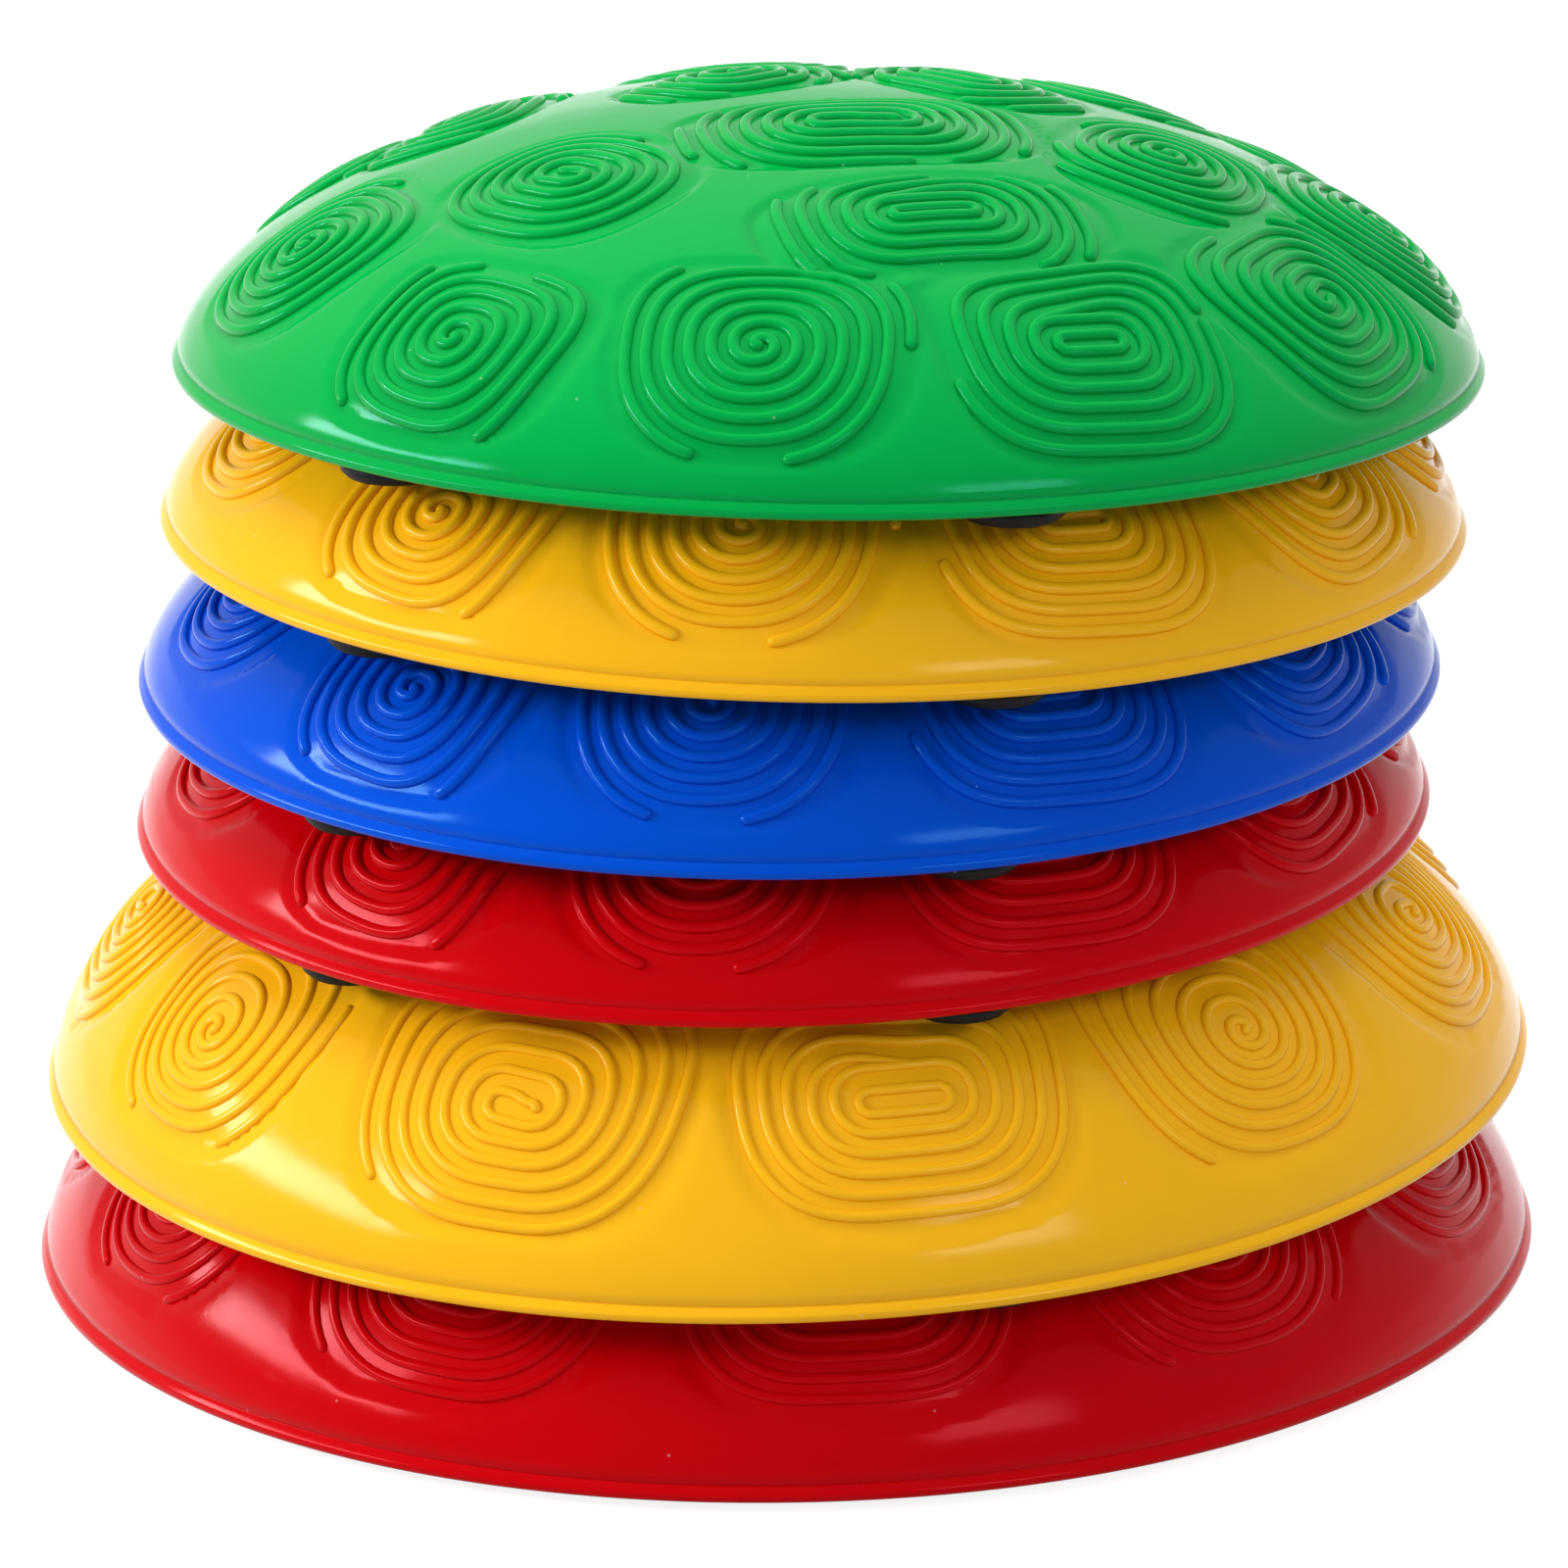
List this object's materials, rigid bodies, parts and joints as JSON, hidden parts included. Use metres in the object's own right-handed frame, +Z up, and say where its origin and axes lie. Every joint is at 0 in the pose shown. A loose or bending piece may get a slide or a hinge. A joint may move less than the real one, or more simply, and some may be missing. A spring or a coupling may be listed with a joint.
{
  "type": "nesting balance stepping stones",
  "caption": "Nest of hollow domed stepping stones with a raised turtle-back top, in two sizes, each on rubber feet and lifting off the one below.",
  "frame": {"origin": "on the floor, under the middle of the lowest stone's rim", "axes": "+Z up, -Y towards the viewer of the picture, +X to the viewer's right"},
  "size_m": [0.4046, 0.4054, 0.3162],
  "materials": {
    "red_plastic": "satin gloss moulded plastic",
    "yellow_plastic": "satin gloss moulded plastic",
    "blue_plastic": "satin gloss moulded plastic",
    "green_plastic": "satin gloss moulded plastic",
    "foot_rubber": "matt black rubber"
  },
  "bodies": {
    "red_large_stone": {"red_large_shell": "red_plastic", "red_large_foot_1": "foot_rubber", "red_large_foot_2": "foot_rubber", "red_large_foot_3": "foot_rubber", "red_large_foot_4": "foot_rubber", "red_large_foot_5": "foot_rubber", "red_large_foot_6": "foot_rubber"},
    "yellow_large_stone": {"yellow_large_shell": "yellow_plastic", "yellow_large_foot_1": "foot_rubber", "yellow_large_foot_2": "foot_rubber", "yellow_large_foot_3": "foot_rubber", "yellow_large_foot_4": "foot_rubber", "yellow_large_foot_5": "foot_rubber", "yellow_large_foot_6": "foot_rubber"},
    "red_small_stone": {"red_small_shell": "red_plastic", "red_small_foot_1": "foot_rubber", "red_small_foot_2": "foot_rubber", "red_small_foot_3": "foot_rubber", "red_small_foot_4": "foot_rubber", "red_small_foot_5": "foot_rubber", "red_small_foot_6": "foot_rubber"},
    "blue_small_stone": {"blue_small_shell": "blue_plastic", "blue_small_foot_1": "foot_rubber", "blue_small_foot_2": "foot_rubber", "blue_small_foot_3": "foot_rubber", "blue_small_foot_4": "foot_rubber", "blue_small_foot_5": "foot_rubber", "blue_small_foot_6": "foot_rubber"},
    "yellow_small_stone": {"yellow_small_shell": "yellow_plastic", "yellow_small_foot_1": "foot_rubber", "yellow_small_foot_2": "foot_rubber", "yellow_small_foot_3": "foot_rubber", "yellow_small_foot_4": "foot_rubber", "yellow_small_foot_5": "foot_rubber", "yellow_small_foot_6": "foot_rubber"},
    "green_small_stone": {"green_small_shell": "green_plastic", "green_small_foot_1": "foot_rubber", "green_small_foot_2": "foot_rubber", "green_small_foot_3": "foot_rubber", "green_small_foot_4": "foot_rubber", "green_small_foot_5": "foot_rubber", "green_small_foot_6": "foot_rubber"}
  },
  "joints": [
    {"name": "yellow_large_lift", "type": "slide", "parent": "red_large_stone", "child": "yellow_large_stone", "axis": [0, 0, 1], "range_m": [0, 0.08]},
    {"name": "red_small_lift", "type": "slide", "parent": "yellow_large_stone", "child": "red_small_stone", "axis": [0, 0, 1], "range_m": [0, 0.06]},
    {"name": "blue_small_lift", "type": "slide", "parent": "red_small_stone", "child": "blue_small_stone", "axis": [0, 0, 1], "range_m": [0, 0.06]},
    {"name": "yellow_small_lift", "type": "slide", "parent": "blue_small_stone", "child": "yellow_small_stone", "axis": [0, 0, 1], "range_m": [0, 0.06]},
    {"name": "green_small_lift", "type": "slide", "parent": "yellow_small_stone", "child": "green_small_stone", "axis": [0, 0, 1], "range_m": [0, 0.06]}
  ]
}
